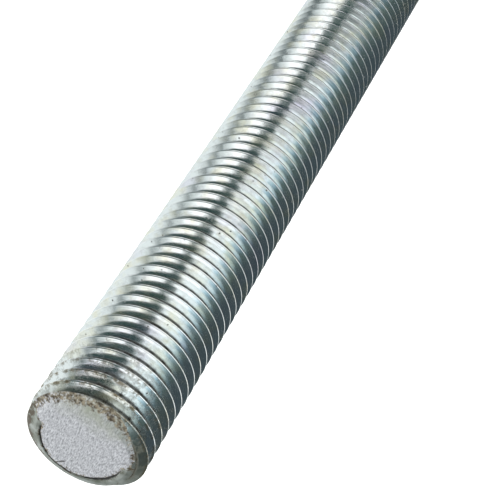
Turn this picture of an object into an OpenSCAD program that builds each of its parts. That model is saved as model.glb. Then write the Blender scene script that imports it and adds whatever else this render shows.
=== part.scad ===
// Fully threaded steel rod, M16 x 2, right-hand thread, cut square at both ends.
// The rod stands on its plain end with its axis along +Z. The origin is the centre of that end.

/* [Rod] */
// Length from one cut end to the other
rod_length = 120; // [40:1:160]
// Outside diameter, over the crests of the thread
crest_d = 16; // [10:0.5:24]

/* [Thread] */
// Rise of the thread in one turn
pitch = 2; // [1.5:0.25:3]
// Angle between the two flanks of a groove
flank_angle = 60; // [50:1:75]
// Width of the flat that the rolling dies leave on the crest
crest_flat = 0.25; // [0.1:0.05:0.4]
// Width of the flat at the bottom of the groove
root_flat = 0.35; // [0.15:0.05:0.5]

/* [Cut ends] */
// How far in from the crests the deburred edge of the upper end starts
upper_bevel_in = 1.9; // [0.5:0.1:2.5]
// How far down the rod that edge reaches
upper_bevel_down = 0.8; // [0.3:0.1:2]
// How far in from the crests the deburred edge of the lower end starts
lower_bevel_in = 1.4; // [0.5:0.1:2.5]
// How far up the rod that edge reaches
lower_bevel_up = 1; // [0.3:0.1:2]

/* [Hidden] */

steel_colour = "#b9c4c6";

crest_r = crest_d / 2;
// The groove's depth follows from the pitch, the two flats and the flank angle
groove_depth = (pitch - crest_flat - root_flat) / 2 / tan(flank_angle / 2);
root_r = crest_r - groove_depth;
flank_rise = (pitch - crest_flat - root_flat) / 2;

// The helix runs a turn past each end, and the bar's own shape trims it back
overrun_turns = 1;
turns = ceil(rod_length / pitch) + 2 * overrun_turns;

// A turn has as many straight steps, in fours, as this many triangles allow for the thread
triangle_budget = 11800;
triangles_per_step = 8;
fewest_steps = 12;
most_steps = 36;
steps = min(most_steps, max(fewest_steps,
    4 * floor(triangle_budget / triangles_per_step / (turns - overrun_turns) / 4)));
stations = turns * steps;

// One step of the profile, as radius and height: up the flank, over the crest and down again
profile = [
    [root_r, -crest_flat / 2 - flank_rise],
    [crest_r, -crest_flat / 2],
    [crest_r, crest_flat / 2],
    [root_r, crest_flat / 2 + flank_rise]
];
corners = len(profile);

// The bevels carry on this much past the crests, so that nothing but the ends trims the thread
bevel_overrun = 0.25;

// A corner of the profile at one station of the helix, which climbs anticlockwise
function thread_point(station, corner) =
    let (turn = station / steps - overrun_turns, angle = 360 * turn, p = profile[corner])
    [p[0] * cos(angle), p[0] * sin(angle), p[1] + pitch * turn];

// The helical surface as one closed solid
module thread_solid() {
    thread_points = [
        for (station = [0:stations], corner = [0:corners - 1]) thread_point(station, corner)
    ];
    lower_tip = len(thread_points);
    upper_tip = lower_tip + 1;
    tips = [
        [0, 0, -pitch * (overrun_turns + 2)],
        [0, 0, pitch * (turns - overrun_turns + 2)]
    ];
    // Flank, crest and flank of each step
    ridge = [
        for (station = [0:stations - 1], corner = [0:corners - 2])
            let (a = station * corners + corner, b = a + 1, c = b + corners, d = a + corners)
            each [[a, b, c], [a, c, d]]
    ];
    // The bottom of the groove, from one turn's ridge to the next turn's
    groove = [
        for (station = [0:stations - steps - 1])
            let (
                a = station * corners + corners - 1, d = a + corners,
                b = (station + steps) * corners, c = b + corners
            )
            each [[a, b, c], [a, c, d]]
    ];
    // The first and the last turn's open edge, closed to a point on the axis
    lower_edge = [
        for (corner = [corners - 1:-1:0]) corner,
        for (station = [1:steps]) station * corners
    ];
    upper_start = (stations - steps) * corners + corners - 1;
    upper_edge = [
        for (station = [0:steps]) upper_start + station * corners,
        for (corner = [corners - 2:-1:0]) stations * corners + corner
    ];
    lower_cap = [
        for (i = [0:len(lower_edge) - 1])
            [lower_edge[i], lower_edge[(i + 1) % len(lower_edge)], lower_tip]
    ];
    upper_cap = [
        for (i = [0:len(upper_edge) - 1])
            [upper_edge[(i + 1) % len(upper_edge)], upper_edge[i], upper_tip]
    ];
    polyhedron(
        points = concat(thread_points, tips),
        faces = concat(ridge, groove, lower_cap, upper_cap),
        convexity = 10
    );
}

// The bar's outer shape: flat ends with deburred edges, clear of the crests between them
module bar_envelope() {
    rotate_extrude($fn = 96)
        polygon([
            [0, 0],
            [crest_r - lower_bevel_in, 0],
            [crest_r + lower_bevel_in * bevel_overrun, lower_bevel_up * (1 + bevel_overrun)],
            [
                crest_r + upper_bevel_in * bevel_overrun,
                rod_length - upper_bevel_down * (1 + bevel_overrun)
            ],
            [crest_r - upper_bevel_in, rod_length],
            [0, rod_length]
        ]);
}
module threaded_rod() {
    color(steel_colour)
        intersection() {
            thread_solid();
            bar_envelope();
        }
}

threaded_rod();
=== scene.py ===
import math

import bpy
import numpy as np
from mathutils import Matrix, Vector, noise


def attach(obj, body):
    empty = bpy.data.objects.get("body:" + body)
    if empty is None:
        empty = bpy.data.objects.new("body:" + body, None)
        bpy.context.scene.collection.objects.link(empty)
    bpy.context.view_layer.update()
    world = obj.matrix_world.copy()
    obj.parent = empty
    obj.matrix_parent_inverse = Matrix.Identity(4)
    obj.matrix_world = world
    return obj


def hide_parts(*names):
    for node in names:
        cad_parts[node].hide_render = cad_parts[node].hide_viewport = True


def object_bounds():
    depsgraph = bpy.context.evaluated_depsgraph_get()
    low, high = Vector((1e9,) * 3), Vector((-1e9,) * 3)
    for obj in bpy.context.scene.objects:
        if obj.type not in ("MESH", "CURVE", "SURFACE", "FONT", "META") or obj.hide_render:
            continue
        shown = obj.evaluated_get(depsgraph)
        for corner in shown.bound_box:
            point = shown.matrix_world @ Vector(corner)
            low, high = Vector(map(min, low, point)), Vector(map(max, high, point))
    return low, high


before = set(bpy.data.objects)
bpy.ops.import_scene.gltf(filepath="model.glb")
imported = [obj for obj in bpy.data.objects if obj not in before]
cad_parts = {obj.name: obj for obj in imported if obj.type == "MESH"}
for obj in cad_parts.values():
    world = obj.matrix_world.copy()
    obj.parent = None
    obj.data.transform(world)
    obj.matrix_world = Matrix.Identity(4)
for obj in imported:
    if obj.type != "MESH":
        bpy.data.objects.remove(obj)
cad_low, cad_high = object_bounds()

# Rolled thread
# The rod is bar stock squeezed between two flat dies, which leave one right-hand helix from end
# to end, with a rounded root and a crest that is lightly rounded. It is then plated with zinc.
mm = 0.001
rod_length = cad_high.z - cad_low.z
crest_r = cad_high.x
pitch = 2 * mm
crest_flat = 0.25 * mm
root_flat = 0.35 * mm
flank_rise = (pitch - crest_flat - root_flat) / 2
flank_lean = math.radians(30)
groove_depth = flank_rise / math.tan(flank_lean)
root_r = crest_r - groove_depth
crest_rounding, crest_facets = 0.04 * mm, 2
root_rounding, root_facets = 0.165 * mm, 3
steps_per_turn = 72
merge_distance = 0.001 * mm

# The helix runs a turn past each end, and the cropped bar trims it back
overrun_turns = 1
turns = round(rod_length / pitch) + 2 * overrun_turns


def pick(piece, kind, wanted):
    """Goes to edit mode with only the vertices or faces selected that wanted() accepts."""
    bpy.ops.object.select_all(action="DESELECT")
    bpy.context.view_layer.objects.active = piece
    piece.select_set(True)
    bpy.ops.object.mode_set(mode="EDIT")
    bpy.ops.mesh.select_mode(type=kind)
    bpy.ops.mesh.select_all(action="DESELECT")
    bpy.ops.object.mode_set(mode="OBJECT")
    for part in piece.data.vertices if kind == "VERT" else piece.data.polygons:
        part.select = wanted(part)
    bpy.ops.object.mode_set(mode="EDIT")


# One pitch of the thread's outline, drawn upwards from the middle of a groove
bpy.ops.object.select_all(action="DESELECT")
bpy.ops.mesh.primitive_plane_add(size=pitch, location=(root_r, 0, -(overrun_turns + 0.5) * pitch))
rod = bpy.context.object
rod.name = "rolled_rod"
bpy.ops.object.transform_apply(location=True, rotation=True, scale=True)
bpy.ops.object.mode_set(mode="EDIT")
bpy.ops.mesh.merge(type="CENTER")
for out, up in [
    (0, root_flat / 2),
    (groove_depth, flank_rise),
    (0, crest_flat),
    (-groove_depth, flank_rise),
    (0, root_flat / 2),
]:
    bpy.ops.mesh.extrude_vertices_move(TRANSFORM_OT_translate={"value": (out, 0, up)})
bpy.ops.object.mode_set(mode="OBJECT")
pick(rod, "VERT", lambda v: v.co.x > crest_r - merge_distance)
bpy.ops.mesh.bevel(offset=crest_rounding, segments=crest_facets, affect="VERTICES")
bpy.ops.object.mode_set(mode="OBJECT")
crest_z = -overrun_turns * pitch
flank_foot = crest_flat / 2 + flank_rise
pick(rod, "VERT", lambda v: abs(abs(v.co.z - crest_z) - flank_foot) < merge_distance)
bpy.ops.mesh.bevel(offset=root_rounding, segments=root_facets, affect="VERTICES")
bpy.ops.object.mode_set(mode="OBJECT")

helix = rod.modifiers.new("helix", "SCREW")
helix.axis = "Z"
helix.angle = math.tau
helix.screw_offset = pitch
helix.iterations = turns
helix.steps = helix.render_steps = steps_per_turn
helix.use_merge_vertices = True
helix.merge_threshold = merge_distance
bpy.ops.object.modifier_apply(modifier="helix")
pick(rod, "VERT", lambda v: True)
bpy.ops.mesh.remove_doubles(threshold=merge_distance)
bpy.ops.mesh.fill_holes(sides=0)
bpy.ops.mesh.normals_make_consistent(inside=False)
bpy.ops.object.mode_set(mode="OBJECT")


def linear(hex_colour):
    """An sRGB hex colour as linear red, green, blue and alpha."""
    parts = [int(hex_colour[i:i + 2], 16) / 255 for i in (1, 3, 5)]
    return [p / 12.92 if p <= 0.04045 else ((p + 0.055) / 1.055) ** 2.4 for p in parts] + [1]


def new_finish(name):
    """A new material, with its node tree and its surface shader."""
    made = bpy.data.materials.new(name)
    made.use_nodes = True
    return made, made.node_tree, made.node_tree.nodes["Principled BSDF"]


def add(tree, kind, inputs, **settings):
    """Adds a node, with its settings, and each input given as a value or as the socket that feeds it."""
    made = tree.nodes.new("ShaderNode" + kind)
    stops = settings.pop("stops", [])
    for _ in stops[2:]:
        made.color_ramp.elements.new(1)
    for index, (position, colour) in enumerate(stops):
        made.color_ramp.elements[index].position = position
        made.color_ramp.elements[index].color = linear(colour)
    for name, value in settings.items():
        setattr(made, name, value)
    for key, value in inputs.items():
        if isinstance(value, bpy.types.NodeSocket):
            tree.links.new(value, made.inputs[key])
        else:
            made.inputs[key].default_value = value
    return made


def from_axis(tree, place):
    """How far each place lies from the rod's axis."""
    across = add(tree, "VectorMath", {0: place, 1: (1, 1, 0)}, operation="MULTIPLY").outputs[0]
    return add(tree, "VectorMath", {0: across}, operation="LENGTH").outputs["Value"]


# A Mix node's sockets share their names, so they go by number: the share of the second, the two
# numbers and the two colours that go in, and the number and the colour that come out
share, number_1, number_2, colour_1, colour_2 = 0, 2, 3, 6, 7
mixed_number, mixed_colour = 0, 2

# Bright zinc plate with a blue passivation: mirror-like, pale blue-green, with faint straw and
# violet patches where the film is thicker, fine die marks round the thread and a few pits.
zinc, tree, shader = new_finish("bright_zinc_plate")
place = add(tree, "TexCoord", {}).outputs["Object"]
radius = from_axis(tree, place)
height = add(tree, "SeparateXYZ", {0: place}).outputs["Z"]

# Straw patches 3 mm wide and violet ones 7 mm wide
film = add(tree, "TexNoise", {"Vector": place, "Scale": 0.33 / mm, "Detail": 3}).outputs["Fac"]
film_wide = add(tree, "TexNoise", {"Vector": place, "Scale": 0.14 / mm, "Detail": 2}).outputs["Fac"]
straw = add(tree, "MapRange", {
    "Value": film, "From Min": 0.5, "From Max": 0.68, "To Max": 0.8,
}).outputs[0]
violet = add(tree, "MapRange", {
    "Value": film_wide, "From Min": 0.56, "From Max": 0.72, "To Max": 0.7,
}).outputs[0]
plate = add(tree, "Mix", {
    share: straw, colour_1: linear("#e2e7e7"), colour_2: linear("#e4e3d2"),
}, data_type="RGBA").outputs[mixed_colour]
plate = add(tree, "Mix", {
    share: violet, colour_1: plate, colour_2: linear("#d9d7e4"),
}, data_type="RGBA").outputs[mixed_colour]

# Die marks run round the rod, each at one depth in the groove
mark_length, mark_width = 6.25 * mm, 0.2 * mm
along = add(tree, "VectorMath", {0: place, "Scale": 1 / mark_length}, operation="SCALE").outputs[0]
depth = add(tree, "Math", {0: radius, 1: 1 / mark_width}, operation="MULTIPLY").outputs[0]
marks = add(tree, "TexNoise", {
    "Vector": along, "W": depth, "Scale": 1, "Detail": 2,
}, noise_dimensions="4D").outputs["Fac"]

# Pits of about 0.15 mm, in a few of the cells, which are 0.5 mm wide
pitted_share, pit_darkness = 0.05, 0.7
cells = add(tree, "TexVoronoi", {"Vector": place, "Scale": 1.9 / mm})
chosen = add(tree, "SeparateColor", {0: cells.outputs["Color"]}).outputs[0]
chosen = add(tree, "Math", {0: chosen, 1: 1 - pitted_share}, operation="GREATER_THAN").outputs[0]
pit = add(tree, "MapRange", {
    "Value": cells.outputs["Distance"], "From Min": 0.3, "From Max": 0.1,
}).outputs[0]
pit = add(tree, "Math", {0: pit, 1: chosen}, operation="MULTIPLY").outputs[0]
pit = add(tree, "Math", {0: pit, 1: pit_darkness}, operation="MULTIPLY").outputs[0]

# Grime in spots of 1 mm and less, most of it in the root and near the cut end
grimy_r, grimiest_r = 7.25 * mm, 6.8 * mm
grime_reach, grimiest_reach = 14 * mm, 2 * mm
in_root = add(tree, "MapRange", {
    "Value": radius, "From Min": grimy_r, "From Max": grimiest_r,
}).outputs[0]
near_end = add(tree, "MapRange", {
    "Value": height, "From Min": rod_length - grime_reach, "From Max": rod_length - grimiest_reach,
    "To Min": 0.2,
}).outputs[0]
grime_noise = add(tree, "TexNoise", {
    "Vector": place, "Scale": 0.9 / mm, "Detail": 6, "Roughness": 0.75,
}).outputs["Fac"]
spots = add(tree, "MapRange", {"Value": grime_noise, "From Min": 0.5, "From Max": 0.6}).outputs[0]
anywhere = add(tree, "Math", {0: in_root, 1: 0.3}, operation="ADD").outputs[0]
grime = add(tree, "Math", {0: spots, 1: near_end}, operation="MULTIPLY").outputs[0]
grime = add(tree, "Math", {0: grime, 1: anywhere}, operation="MULTIPLY", use_clamp=True).outputs[0]

# Painted shade at the very bottom of the groove, along the whole rod: a dark line where the groove lies
# in shadow
root_shade_edge_r, root_shade_full_r = 7.1 * mm, 6.9 * mm
painted_root_shade = add(tree, "MapRange", {
    "Value": radius, "From Min": root_shade_edge_r, "From Max": root_shade_full_r,
}).outputs[0]
root_shade_strength = add(tree, "MapRange", {
    "Value": grime_noise, "From Min": 0.35, "From Max": 0.6, "To Min": 0.35,
}).outputs[0]
painted_root_shade = add(tree, "Math", {0: painted_root_shade, 1: root_shade_strength}, operation="MULTIPLY").outputs[0]
# dark holds the grime and the pits, and also the painted shade at the groove's bottom
dark = add(tree, "Math", {0: grime, 1: pit}, operation="MAXIMUM").outputs[0]
dark = add(tree, "Math", {0: dark, 1: painted_root_shade}, operation="MAXIMUM").outputs[0]

# The last turn before the cut is dull and grey-olive
dull_reach, dullest_reach = 2.6 * mm, 1.2 * mm
dull = add(tree, "MapRange", {
    "Value": height, "From Min": rod_length - dull_reach, "From Max": rod_length - dullest_reach,
}).outputs[0]
cloud = add(tree, "MapRange", {
    "Value": film, "From Min": 0.3, "From Max": 0.6, "To Min": 0.5,
}).outputs[0]
dull = add(tree, "Math", {0: dull, 1: cloud}, operation="MULTIPLY").outputs[0]
plate = add(tree, "Mix", {
    share: dull, colour_1: plate, colour_2: linear("#a9aa9d"),
}, data_type="RGBA").outputs[mixed_colour]

# Brown stains on the first few crests
stained_depth, most_stained_depth = 0.35 * mm, 0.15 * mm
stain_reach, most_stained_reach = 11 * mm, 4 * mm
on_crest = add(tree, "MapRange", {
    "Value": radius, "From Min": crest_r - stained_depth, "From Max": crest_r - most_stained_depth,
}).outputs[0]
on_first = add(tree, "MapRange", {
    "Value": height, "From Min": rod_length - stain_reach, "From Max": rod_length - most_stained_reach,
}).outputs[0]
stain_spots = add(tree, "MapRange", {
    "Value": grime_noise, "From Min": 0.45, "From Max": 0.58, "To Max": 0.85,
}).outputs[0]
stain = add(tree, "Math", {0: on_crest, 1: on_first}, operation="MULTIPLY").outputs[0]
stain = add(tree, "Math", {0: stain, 1: stain_spots}, operation="MULTIPLY").outputs[0]
stained = add(tree, "Mix", {
    share: stain, colour_1: plate, colour_2: linear("#7a6c4c"),
}, data_type="RGBA").outputs[mixed_colour]
# Grime and pits, and the painted shade at the groove's bottom, all in the same dark brown
soiled_and_groove_shaded = add(tree, "Mix", {
    share: dark, colour_1: stained, colour_2: linear("#463e2f"),
}, data_type="RGBA").outputs[mixed_colour]
tree.links.new(soiled_and_groove_shaded, shader.inputs["Base Color"])
bare = add(tree, "MapRange", {"Value": dark, "To Min": 1, "To Max": 0.3}).outputs[0]
tree.links.new(bare, shader.inputs["Metallic"])
gloss = add(tree, "MapRange", {
    "Value": film, "From Min": 0.3, "From Max": 0.7, "To Min": 0.12, "To Max": 0.22,
}).outputs[0]
gloss = add(tree, "Math", {0: dull, 1: 0.22, 2: gloss}, operation="MULTIPLY_ADD").outputs[0]
gloss = add(tree, "Math", {0: dark, 1: 0.4, 2: gloss}, operation="MULTIPLY_ADD").outputs[0]
tree.links.new(gloss, shader.inputs["Roughness"])

# Waves 2.4 mm long, the die marks, and hollows where the plate is pitted or grimy and along the painted
# shade at the groove's bottom
wave_rise, mark_rise, pit_depth = 0.035 * mm, 0.006 * mm, 0.02 * mm
waves = add(tree, "TexNoise", {"Vector": place, "Scale": 0.42 / mm, "Detail": 1}).outputs["Fac"]
bump = add(tree, "Bump", {"Height": waves, "Distance": wave_rise, "Strength": 1}).outputs[0]
bump = add(tree, "Bump", {
    "Height": marks, "Distance": mark_rise, "Strength": 1, "Normal": bump,
}).outputs[0]
bump = add(tree, "Bump", {
    "Height": dark, "Distance": -pit_depth, "Strength": 1, "Normal": bump,
}).outputs[0]
tree.links.new(bump, shader.inputs["Normal"])

# Cropped ends
# The bar is cropped to length and then rolled, so the upper end is a rough flat disc of sheared
# steel with a lip squeezed out round it. A crack runs between the two, and a short one branches off.
front_bearing = math.radians(-160)
upper_disc_r, upper_bevel_down = 6.1 * mm, 0.8 * mm
lower_disc_r, lower_bevel_up = 6.6 * mm, 1 * mm
clear_r = crest_r + 0.4 * mm
upper_slope = upper_bevel_down / (crest_r - upper_disc_r)
lower_slope = lower_bevel_up / (crest_r - lower_disc_r)
upper_shoulder = rod_length - (clear_r - upper_disc_r) * upper_slope
lower_shoulder = (clear_r - lower_disc_r) * lower_slope
ring_steps = 288

bpy.ops.object.select_all(action="DESELECT")
bpy.ops.mesh.primitive_cylinder_add(
    vertices=ring_steps, radius=clear_r, depth=upper_shoulder - lower_shoulder,
    location=(0, 0, (upper_shoulder + lower_shoulder) / 2),
)
bar = bpy.context.object
bar.name = "cropped_bar"
bpy.ops.object.transform_apply(location=True, rotation=True, scale=True)


def dish(face_z, radii, disc_r, slope):
    """Insets the bar's end face ring by ring: sloping out to disc_r, then flat, closed at the middle."""
    wall_corners = 4
    pick(bar, "FACE", lambda face: (
        abs(face.center.z - face_z) < merge_distance and len(face.vertices) > wall_corners))
    for outer, inner in zip(radii, radii[1:]):
        rise = slope * (outer - inner) if inner >= disc_r - merge_distance else 0
        bpy.ops.mesh.inset(thickness=outer - inner, depth=rise)
    bpy.ops.mesh.merge(type="CENTER")
    bpy.ops.object.mode_set(mode="OBJECT")


def spaced(start, stop, count):
    """Evenly spaced values from start, which is left out, to stop."""
    return [start + (stop - start) * i / count for i in range(1, count + 1)]


# The rings are closest where the face's edge and the crack are
fine_outer_r, fine_inner_r, middle_r = 6.7 * mm, 5.1 * mm, 0.3 * mm
upper_radii = (
    [clear_r] + spaced(clear_r, fine_outer_r, 12) + spaced(fine_outer_r, upper_disc_r, 8)
    + spaced(upper_disc_r, fine_inner_r, 13) + spaced(fine_inner_r, middle_r, 16)
)
lower_radii = [clear_r] + spaced(clear_r, lower_disc_r, 3) + spaced(lower_disc_r, middle_r, 4)
dish(upper_shoulder, upper_radii, upper_disc_r, upper_slope)
dish(lower_shoulder, lower_radii, lower_disc_r, lower_slope)


def vertex_places(piece):
    """The piece's vertices, one row of x, y and z for each."""
    places = np.empty(len(piece.data.vertices) * 3)
    piece.data.vertices.foreach_get("co", places)
    return places.reshape(-1, 3)


def roughness_field(places, per_metre, offset):
    """Smooth noise from -1 to 1 at each place, the same on every run."""
    shift = Vector((offset, 2 * offset, 3 * offset))
    return np.array([noise.noise(Vector(p) * per_metre + shift) for p in places])


def ramp(value, start, full):
    """0 at start, rising or falling evenly to 1 at full, and no further."""
    return np.clip((value - start) / (full - start), 0, 1)


def hump(value, middle, reach):
    """1 at the middle, falling smoothly on both sides, to about a third at the reach."""
    return np.exp(-((value - middle) / reach) ** 2)


# Bearings on the upper end are degrees round it from the photographed side, anticlockwise from above
crack_r, crack_bulge = 5.45 * mm, 0.55 * mm
bulge_at, bulge_reach = 162, 40
crack_starts, crack_whole_from, crack_whole_to, crack_ends = 92, 106, 262, 272
crack_width, crack_gape = 0.09 * mm, 0.17 * mm
gape_at, gape_reach = 232, 20
crack_depth = 0.22 * mm
branch_start, branch_end = Vector((-5.6, 1.6)) * mm, Vector((-3.5, -0.1)) * mm
branch_width, branch_taper, branch_fade = 0.08 * mm, 0.04 * mm, 0.6


def bearing_from_front(places):
    """Each place's bearing, from 0 to 360."""
    return np.degrees(np.arctan2(places[:, 1], places[:, 0]) - front_bearing) % 360


def crack_path(bearing):
    """The crack's distance from the axis, without its wander."""
    return crack_r + crack_bulge * hump(bearing, bulge_at, bulge_reach)


def wander(places):
    """How far torn edges stray from their path, in bends of 1 mm with finer ones of 0.3 mm on them."""
    coarse = 0.1 * mm * roughness_field(places, 1.1 / mm, 4)
    fine = 0.05 * mm * roughness_field(places, 3.6 / mm, 9)
    return coarse + fine


def crack_strength(places):
    """0 to 1: how deep in the crack between the disc and the lip, or in its branch, each place lies."""
    radius = np.hypot(places[:, 0], places[:, 1])
    bearing = bearing_from_front(places)
    shift = wander(places)
    width = crack_width + crack_gape * hump(bearing, gape_at, gape_reach)
    along = ramp(bearing, crack_starts, crack_whole_from) * ramp(bearing, crack_ends, crack_whole_to)
    broken = np.clip(0.9 + 1.2 * roughness_field(places, 0.7 / mm, 15), 0.6, 1)
    ring = hump(radius, crack_path(bearing) + shift, width) * along * broken
    turned = places @ np.array(Matrix.Rotation(-front_bearing, 3, "Z").transposed())
    run = branch_end - branch_start
    from_start = turned[:, :2] - np.array(branch_start)
    gone = np.clip(from_start @ np.array(run) / run.length_squared, 0, 1)
    off_branch = np.hypot(*(from_start - gone[:, None] * np.array(run)).T) + shift
    branch = hump(off_branch, 0, branch_width - branch_taper * gone) * (1 - branch_fade * gone)
    return np.maximum(ring, branch)


# The sheared face reaches past the rim in front, and draws in to the crack on both sides. The
# bearings here go from behind, on the left, past 0 in front to negative ones on the right.
front_r, side_r = 8.2 * mm, 5.5 * mm
left_from, left_to = 74, 94
right_from, right_to = -30, -92
turns_negative_past = 200
front_raggedness = 4


def sheared_border(places):
    """Radius out to which the sheared face reaches: to the rim in front, and to the crack behind."""
    bearing = bearing_from_front(places)
    cracked = crack_path(bearing) + wander(places)
    bearing = np.where(bearing > turns_negative_past, bearing - 360, bearing)
    left = ramp(bearing, left_from, left_to)
    right = ramp(bearing, right_from, right_to)
    drawn_in = (side_r - front_r) * np.maximum(left, right)
    edge = front_r + drawn_in + front_raggedness * wander(places) * (1 - left)
    return np.where((bearing > left_to) | (bearing < right_to), cracked, edge)


# The face is sunk by shallow dents and by the crack, and its rim is lumpy
dent_depth, lump_depth = 0.03 * mm, 0.02 * mm
rim_starts_r, rim_full_r = 5.9 * mm, 7.1 * mm
places = vertex_places(bar)
on_top = places[:, 2] > upper_shoulder + merge_distance
top = places[on_top]
on_rim = ramp(np.hypot(top[:, 0], top[:, 1]), rim_starts_r, rim_full_r)
dents = dent_depth * (1 + roughness_field(top, 0.6 / mm, 2)) / 2
lumps = lump_depth * on_rim * (1 + roughness_field(top, 1.7 / mm, 11)) / 2
places[on_top, 2] -= dents + lumps + crack_depth * crack_strength(top)
bar.data.vertices.foreach_set("co", places.ravel())
bar.data.update()


def with_crack(tree, colour):
    """The colour with the crack drawn in it in near black, and how strongly the crack shows."""
    line = add(tree, "Attribute", {}, attribute_name="crack").outputs["Fac"]
    shown = add(tree, "MapRange", {"Value": line, "From Min": 0.15, "From Max": 0.5}).outputs[0]
    cracked = add(tree, "Mix", {
        share: shown, colour_1: colour, colour_2: linear("#1d1b19"),
    }, data_type="RGBA").outputs[mixed_colour]
    return cracked, shown


# Sheared steel under a thin dull plate: matt light grey with short torn grain, olive and brown
# staining towards the front rim, and black cracks.
sheared, tree, shader = new_finish("sheared_plated_face")
place = add(tree, "TexCoord", {}).outputs["Object"]
turned = add(tree, "Mapping", {"Vector": place, "Rotation": (0, 0, -front_bearing)}).outputs[0]

# Torn grain about 0.55 mm long and 0.17 mm wide, over mottling of 0.5 mm
grain_lean = math.radians(-25)
grain_way = add(tree, "Mapping", {
    "Vector": turned, "Rotation": (0, 0, grain_lean), "Scale": (1.8 / mm, 5.8 / mm, 1.8 / mm),
}).outputs[0]
grain = add(tree, "TexNoise", {
    "Vector": grain_way, "Scale": 1, "Detail": 4, "Roughness": 0.65,
}).outputs["Fac"]
mottle = add(tree, "TexNoise", {
    "Vector": place, "Scale": 1.9 / mm, "Detail": 4, "Roughness": 0.6,
}).outputs["Fac"]
tone = add(tree, "Mix", {share: 0.3, number_1: grain, number_2: mottle}).outputs[mixed_number]
tone = add(tree, "MapRange", {"Value": tone, "From Min": 0.36, "From Max": 0.6}).outputs[0]
steel = add(tree, "Mix", {
    share: tone, colour_1: linear("#a09fa4"), colour_2: linear("#f6f5f9"),
}, data_type="RGBA").outputs[mixed_colour]

# Olive staining in patches of 2 mm on the front half
olive_starts, olive_full = 1.5 * mm, 6.5 * mm
forward = add(tree, "SeparateXYZ", {0: turned}).outputs["X"]
frontness = add(tree, "MapRange", {
    "Value": forward, "From Min": olive_starts, "From Max": olive_full,
}).outputs[0]
patches = add(tree, "TexNoise", {"Vector": place, "Scale": 0.5 / mm, "Detail": 4}).outputs["Fac"]
olive = add(tree, "Math", {0: frontness, 1: patches}, operation="MULTIPLY").outputs[0]
olive = add(tree, "MapRange", {
    "Value": olive, "From Min": 0.15, "From Max": 0.6, "To Max": 0.75,
}).outputs[0]
steel = add(tree, "Mix", {
    share: olive, colour_1: steel, colour_2: linear("#b2b6a0"),
}, data_type="RGBA").outputs[mixed_colour]

# Brown stains of 0.5 mm, dark and pale, close to the edge of the face and most in front
rimness = add(tree, "Attribute", {}, attribute_name="border").outputs["Fac"]
stain = add(tree, "TexNoise", {
    "Vector": place, "Scale": 2.1 / mm, "Detail": 5, "Roughness": 0.7,
}).outputs["Fac"]
stain = add(tree, "Math", {0: rimness, 1: 0.3, 2: stain}, operation="MULTIPLY_ADD").outputs[0]
stain = add(tree, "Math", {0: frontness, 1: 0.03, 2: stain}, operation="MULTIPLY_ADD").outputs[0]
stain = add(tree, "MapRange", {"Value": stain, "From Min": 0.64, "From Max": 0.74}).outputs[0]
paleness = add(tree, "MapRange", {"Value": mottle, "From Min": 0.42, "From Max": 0.6}).outputs[0]
brown = add(tree, "Mix", {
    share: paleness, colour_1: linear("#41372a"), colour_2: linear("#968c78"),
}, data_type="RGBA").outputs[mixed_colour]
steel = add(tree, "Mix", {
    share: stain, colour_1: steel, colour_2: brown,
}, data_type="RGBA").outputs[mixed_colour]
steel, crack_shown = with_crack(tree, steel)
tree.links.new(steel, shader.inputs["Base Color"])
covered = add(tree, "Math", {0: stain, 1: crack_shown}, operation="MAXIMUM").outputs[0]
bare = add(tree, "MapRange", {"Value": covered, "To Min": 0.75, "To Max": 0.1}).outputs[0]
tree.links.new(bare, shader.inputs["Metallic"])
shader.inputs["Roughness"].default_value = 0.5

# The stained part is smoother
grain_rise, mottle_rise = 0.06 * mm, 0.05 * mm
torn = add(tree, "MapRange", {"Value": olive, "To Min": 1, "To Max": 0.4}).outputs[0]
bump = add(tree, "Bump", {"Height": grain, "Distance": grain_rise, "Strength": torn}).outputs[0]
bump = add(tree, "Bump", {
    "Height": mottle, "Distance": mottle_rise, "Strength": torn, "Normal": bump,
}).outputs[0]
tree.links.new(bump, shader.inputs["Normal"])

# Worn plate on the squeezed-out lip: smooth and dull, grey-green in clouds of 1.5 mm, with brown
# specks of 0.7 mm at its outer edge and beside the face.
lip, tree, shader = new_finish("worn_plated_lip")
place = add(tree, "TexCoord", {}).outputs["Object"]
edge_starts_r, edge_full_r = 6.3 * mm, 7.1 * mm
cloud = add(tree, "TexNoise", {"Vector": place, "Scale": 0.7 / mm, "Detail": 4}).outputs["Fac"]
cloud = add(tree, "MapRange", {"Value": cloud, "From Min": 0.35, "From Max": 0.62}).outputs[0]
worn = add(tree, "Mix", {
    share: cloud, colour_1: linear("#7d8176"), colour_2: linear("#b2b6b0"),
}, data_type="RGBA").outputs[mixed_colour]
outer_edge = add(tree, "MapRange", {
    "Value": from_axis(tree, place), "From Min": edge_starts_r, "From Max": edge_full_r,
}).outputs[0]
beside_face = add(tree, "Attribute", {}, attribute_name="border").outputs["Fac"]
edge = add(tree, "Math", {0: beside_face, 1: outer_edge}, operation="MAXIMUM").outputs[0]
specks = add(tree, "TexNoise", {
    "Vector": place, "Scale": 1.5 / mm, "Detail": 5, "Roughness": 0.7,
}).outputs["Fac"]
specks = add(tree, "Math", {0: edge, 1: 0.3, 2: specks}, operation="MULTIPLY_ADD").outputs[0]
specks = add(tree, "MapRange", {"Value": specks, "From Min": 0.68, "From Max": 0.78}).outputs[0]
worn = add(tree, "Mix", {
    share: specks, colour_1: worn, colour_2: linear("#4b4131"),
}, data_type="RGBA").outputs[mixed_colour]
worn, crack_shown = with_crack(tree, worn)
tree.links.new(worn, shader.inputs["Base Color"])
covered = add(tree, "Math", {0: specks, 1: crack_shown}, operation="MAXIMUM").outputs[0]
bare = add(tree, "MapRange", {"Value": covered, "To Min": 0.85, "To Max": 0.1}).outputs[0]
tree.links.new(bare, shader.inputs["Metallic"])
shader.inputs["Roughness"].default_value = 0.36
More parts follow.
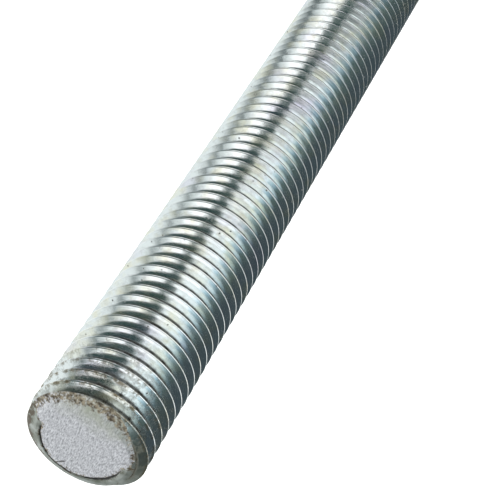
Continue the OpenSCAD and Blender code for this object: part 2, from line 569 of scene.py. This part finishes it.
cloud_rise = 0.02 * mm
bump = add(tree, "Bump", {"Height": cloud, "Distance": cloud_rise, "Strength": 1}).outputs[0]
tree.links.new(bump, shader.inputs["Normal"])

# Each finish goes where it lies: sheared on the discs, the lip round the upper one, and zinc elsewhere
finishes = [zinc, sheared, lip]
for piece in (rod, bar):
    for finish in finishes:
        piece.data.materials.append(finish)
centres = np.array([face.center for face in bar.data.polygons])
ring_r = np.hypot(centres[:, 0], centres[:, 1])
finish_index = np.full(len(centres), finishes.index(zinc), np.int32)
on_face = centres[:, 2] > upper_shoulder
inside_border = ring_r[on_face] < sheared_border(centres[on_face])
finish_index[on_face] = np.where(inside_border, finishes.index(sheared), finishes.index(lip))
finish_index[(centres[:, 2] < merge_distance) & (ring_r < lower_disc_r)] = finishes.index(sheared)
bar.data.polygons.foreach_set("material_index", finish_index)

# The bar trims the thread and gives it its end faces
trim = rod.modifiers.new("trim", "BOOLEAN")
trim.operation = "INTERSECT"
trim.solver = "MANIFOLD"
trim.material_mode = "INDEX"
trim.object = bar
bpy.ops.object.select_all(action="DESELECT")
bpy.context.view_layer.objects.active = rod
rod.select_set(True)
bpy.ops.object.modifier_apply(modifier="trim")
bpy.data.objects.remove(bar)
sharpest_smooth = math.radians(38)
bpy.ops.object.shade_smooth_by_angle(angle=sharpest_smooth)
flat_flanks = rod.modifiers.new("flat_flanks", "WEIGHTED_NORMAL")
flat_flanks.keep_sharp = True
bpy.ops.object.modifier_apply(modifier="flat_flanks")

# The finishes of the upper end follow the crack and the face's border as values on the mesh
border_width, border_strength = 0.5 * mm, 0.7
outer_full_r, outer_strength = 7.2 * mm, 0.75
places = vertex_places(rod)
near_top = places[:, 2] > upper_shoulder
end_places = places[near_top]
end_r = np.hypot(end_places[:, 0], end_places[:, 1])
beside_border = border_strength * hump(end_r, sheared_border(end_places), border_width)
outer_rim = outer_strength * ramp(end_r, upper_disc_r, outer_full_r)
for name, end_values in [
    ("crack", crack_strength(end_places)),
    ("border", np.maximum(beside_border, outer_rim)),
]:
    values = np.zeros(len(places), np.float32)
    values[near_top] = end_values
    rod.data.attributes.new(name, "FLOAT", "POINT").data.foreach_set("value", values)
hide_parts("threaded_rod")
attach(rod, "root")

# Floor
# A sheet of white paper, which the rod stands on. It glows faintly, so that it comes out as white
# as the photograph's background.
paper_width = 6
bpy.ops.mesh.primitive_plane_add(size=paper_width, location=(0, 0, 0))
floor = bpy.context.object
floor.name = "floor"
paper, tree, shader = new_finish("floor_paper")
for socket, value in [
    ("Base Color", linear("#f4f4f2")),
    ("Roughness", 0.9),
    ("Specular IOR Level", 0),
    ("Emission Color", linear("#ffffff")),
    ("Emission Strength", 0.35),
]:
    shader.inputs[socket].default_value = value
floor.data.materials.append(paper)
floor.visible_glossy = False

# Light
# Softboxes over a table in a dark studio. The plating mirrors them as broad bright bands, the
# floor round the table as thin lines on the crests, and the dark gaps between as dark bands.
world = bpy.data.worlds.new("studio")
bpy.context.scene.world = world
world.use_nodes = True
sky = world.node_tree
studio_turn = front_bearing + math.radians(90)
direction = add(sky, "Mapping", {
    "Vector": add(sky, "TexCoord", {}).outputs["Generated"], "Rotation": (0, 0, -studio_turn),
}).outputs[0]
around = add(sky, "TexGradient", {"Vector": direction}, gradient_type="RADIAL").outputs["Fac"]
steepness = add(sky, "SeparateXYZ", {0: direction}).outputs["Z"]

# The surroundings by bearing, in degrees anticlockwise from above, with the photographed side at -90
bands = {
    "shaded floor": [
        (-180, "#20272a"), (-64, "#262c2e"), (-50, "#ffffff"), (-22, "#ffffff"), (-2, "#7c8484"),
        (30, "#8a9090"), (70, "#d8dcdc"), (85, "#d8dcdc"), (110, "#3c4243"),
    ],
    "lit floor": [
        (-180, "#ffffff"), (-84, "#ffffff"), (-70, "#a4aaaa"), (-50, "#60686a"), (-4, "#5c6466"),
        (14, "#d0d4d4"), (80, "#e8ecec"), (105, "#979d9d"), (140, "#ffffff"),
    ],
    "table": [
        (-180, "#414c50"), (-164, "#586a70"), (-146, "#c2d5db"), (-130, "#f4fafc"), (-86, "#ffffff"),
        (-80, "#304341"), (-8, "#304341"), (2, "#cacece"), (78, "#cacece"), (104, "#7a8485"),
        (180, "#4e585b"),
    ],
    "walls": [
        (-180, "#353e42"), (-164, "#4a575a"), (-140, "#c0d2d8"), (-86, "#f0f4f4"), (-80, "#424c4b"),
        (2, "#4a5353"), (20, "#ced3d3"), (60, "#d0d4d4"), (95, "#acafb1"), (114, "#8f9492"),
        (126, "#363f43"), (180, "#353e42"),
    ],
    "upper walls": [
        (-90, "#3a4446"), (2, "#4a5353"), (20, "#ced3d3"), (60, "#d0d4d4"), (95, "#acafb1"),
        (114, "#8f9492"), (126, "#363f43"),
    ],
}
band_colours = {"ceiling": linear("#44514e")}
for name, stops in bands.items():
    ramp_stops = [((degrees + 180) / 360, colour) for degrees, colour in stops]
    band_colours[name] = add(sky, "ValToRGB", {"Fac": around}, stops=ramp_stops).outputs["Color"]

# Each band takes over from the one below between two steepnesses, from -1 straight down to 1 up
seen = band_colours["shaded floor"]
for name, starts, whole in [
    ("lit floor", -0.745, -0.67),
    ("table", -0.62, -0.5),
    ("walls", -0.04, 0.04),
    ("upper walls", 0.08, 0.18),
    ("ceiling", 0.72, 0.8),
]:
    risen = add(sky, "MapRange", {"Value": steepness, "From Min": starts, "From Max": whole}).outputs[0]
    seen = add(sky, "Mix", {
        share: risen, colour_1: seen, colour_2: band_colours[name],
    }, data_type="RGBA").outputs[mixed_colour]

# The camera itself sees plain white behind the rod
surroundings = sky.nodes["Background"]
surroundings.inputs["Strength"].default_value = 1.6
sky.links.new(seen, surroundings.inputs["Color"])
pale = add(sky, "Background", {"Color": linear("#ffffff")}).outputs[0]
by_camera = add(sky, "LightPath", {}).outputs["Is Camera Ray"]
choose = add(sky, "MixShader", {0: by_camera, 1: surroundings.outputs[0], 2: pale}).outputs[0]
sky.links.new(choose, sky.nodes["World Output"].inputs["Surface"])

panel_height = 2
fade_starts, fade_whole = -0.3, -0.75


def softbox(name, low, high, turn, stops, radiance, far_side=1):
    """A lit panel, panel_height over the rod's upper end, that the camera doesn't see itself.

    low and high are its corners, as metres along X and Y for each metre of height, and turn is
    in degrees. far_side is how bright its far side is, compared with the rest. It starts as a
    plane from -1 to 1 each way, so its scale is half its width and half its length.
    """
    bpy.ops.mesh.primitive_plane_add(size=2)
    panel = bpy.context.object
    panel.name = name
    middle = [(a + b) / 2 * panel_height for a, b in zip(low, high)]
    middle = Vector(middle + [rod_length + panel_height])
    panel.location = Matrix.Rotation(studio_turn, 3, "Z") @ middle
    panel.scale = [(b - a) / 2 * panel_height for a, b in zip(low, high)] + [1]
    panel.rotation_euler = (0, 0, math.radians(turn) + studio_turn)
    cloth = bpy.data.materials.new(name)
    cloth.use_nodes = True
    tree = cloth.node_tree
    tree.nodes.remove(tree.nodes["Principled BSDF"])
    spot = add(tree, "SeparateXYZ", {0: add(tree, "TexCoord", {}).outputs["Object"]})
    span = add(tree, "MapRange", {"Value": spot.outputs["X"], "From Min": -1}).outputs[0]
    shade = add(tree, "ValToRGB", {"Fac": span}, stops=stops).outputs["Color"]
    strength = add(tree, "MapRange", {
        "Value": spot.outputs["Y"], "From Min": fade_whole, "From Max": fade_starts,
        "To Min": radiance * far_side, "To Max": radiance,
    }).outputs[0]
    glow = add(tree, "Emission", {"Color": shade, "Strength": strength}).outputs[0]
    tree.links.new(glow, tree.nodes["Material Output"].inputs["Surface"])
    panel.data.materials.append(cloth)
    panel.visible_camera = False
    panel.visible_shadow = False


softbox("overhead_softbox", (-0.64, -0.5), (0.075, 0.15), 0, [
    (0, "#52666f"), (0.2, "#91adb9"), (0.3, "#bcd5de"), (0.42, "#f4faff"), (1, "#ffffff"),
], 1.5, far_side=0.4)
softbox("front_left_softbox", (0.3, -0.62), (1.0, 0.06), 25, [
    (0, "#ffffff"), (0.4, "#ffffff"), (0.75, "#c6cccc"), (1, "#b4baba"),
], 1.5)

# The room's own soft light, which reaches the matt end face but isn't mirrored
sun = bpy.data.lights.new("room_light", "SUN")
sun.energy = 2.8
sun.angle = math.radians(60)
sun_placed = bpy.data.objects.new("room_light", sun)
sun_placed.visible_glossy = False
bpy.context.scene.collection.objects.link(sun_placed)

# Camera
# The photograph's camera. In its view, x goes right, y down and z ahead: end_in_view is the
# centre of the upper end, and into_rod is the way from there down the rod.
focal_px, frame_w, frame_h = 1507, 484, 498
film_width = 36
end_in_view = Vector((-18.904, 23.27, 178.008)) * mm
into_rod = Vector((0.36604, -0.60452, 0.70751)).normalized()
towards_camera = (into_rod * end_in_view.dot(into_rod) - end_in_view).normalized()
seen_axes = Matrix((into_rod, towards_camera, into_rod.cross(towards_camera)))
placed_axes = Matrix((
    Vector((0, 0, -1)),
    Vector((math.cos(front_bearing), math.sin(front_bearing), 0)),
    Vector((math.sin(front_bearing), -math.cos(front_bearing), 0)),
))
from_view = placed_axes.transposed() @ seen_axes
right, down, ahead = from_view.col
camera_data = bpy.data.cameras.new("camera")
camera_data.sensor_fit = "AUTO"
camera_data.sensor_width = film_width
camera_data.lens = focal_px / max(frame_w, frame_h) * film_width
camera_data.clip_start = 0.01
camera = bpy.data.objects.new("camera", camera_data)
bpy.context.scene.collection.objects.link(camera)
camera.rotation_euler = Matrix((right, -down, -ahead)).transposed().to_euler()
camera.location = Vector((0, 0, rod_length)) - from_view @ end_in_view
bpy.context.scene.camera = camera
bpy.context.scene.view_settings.view_transform = "Standard"
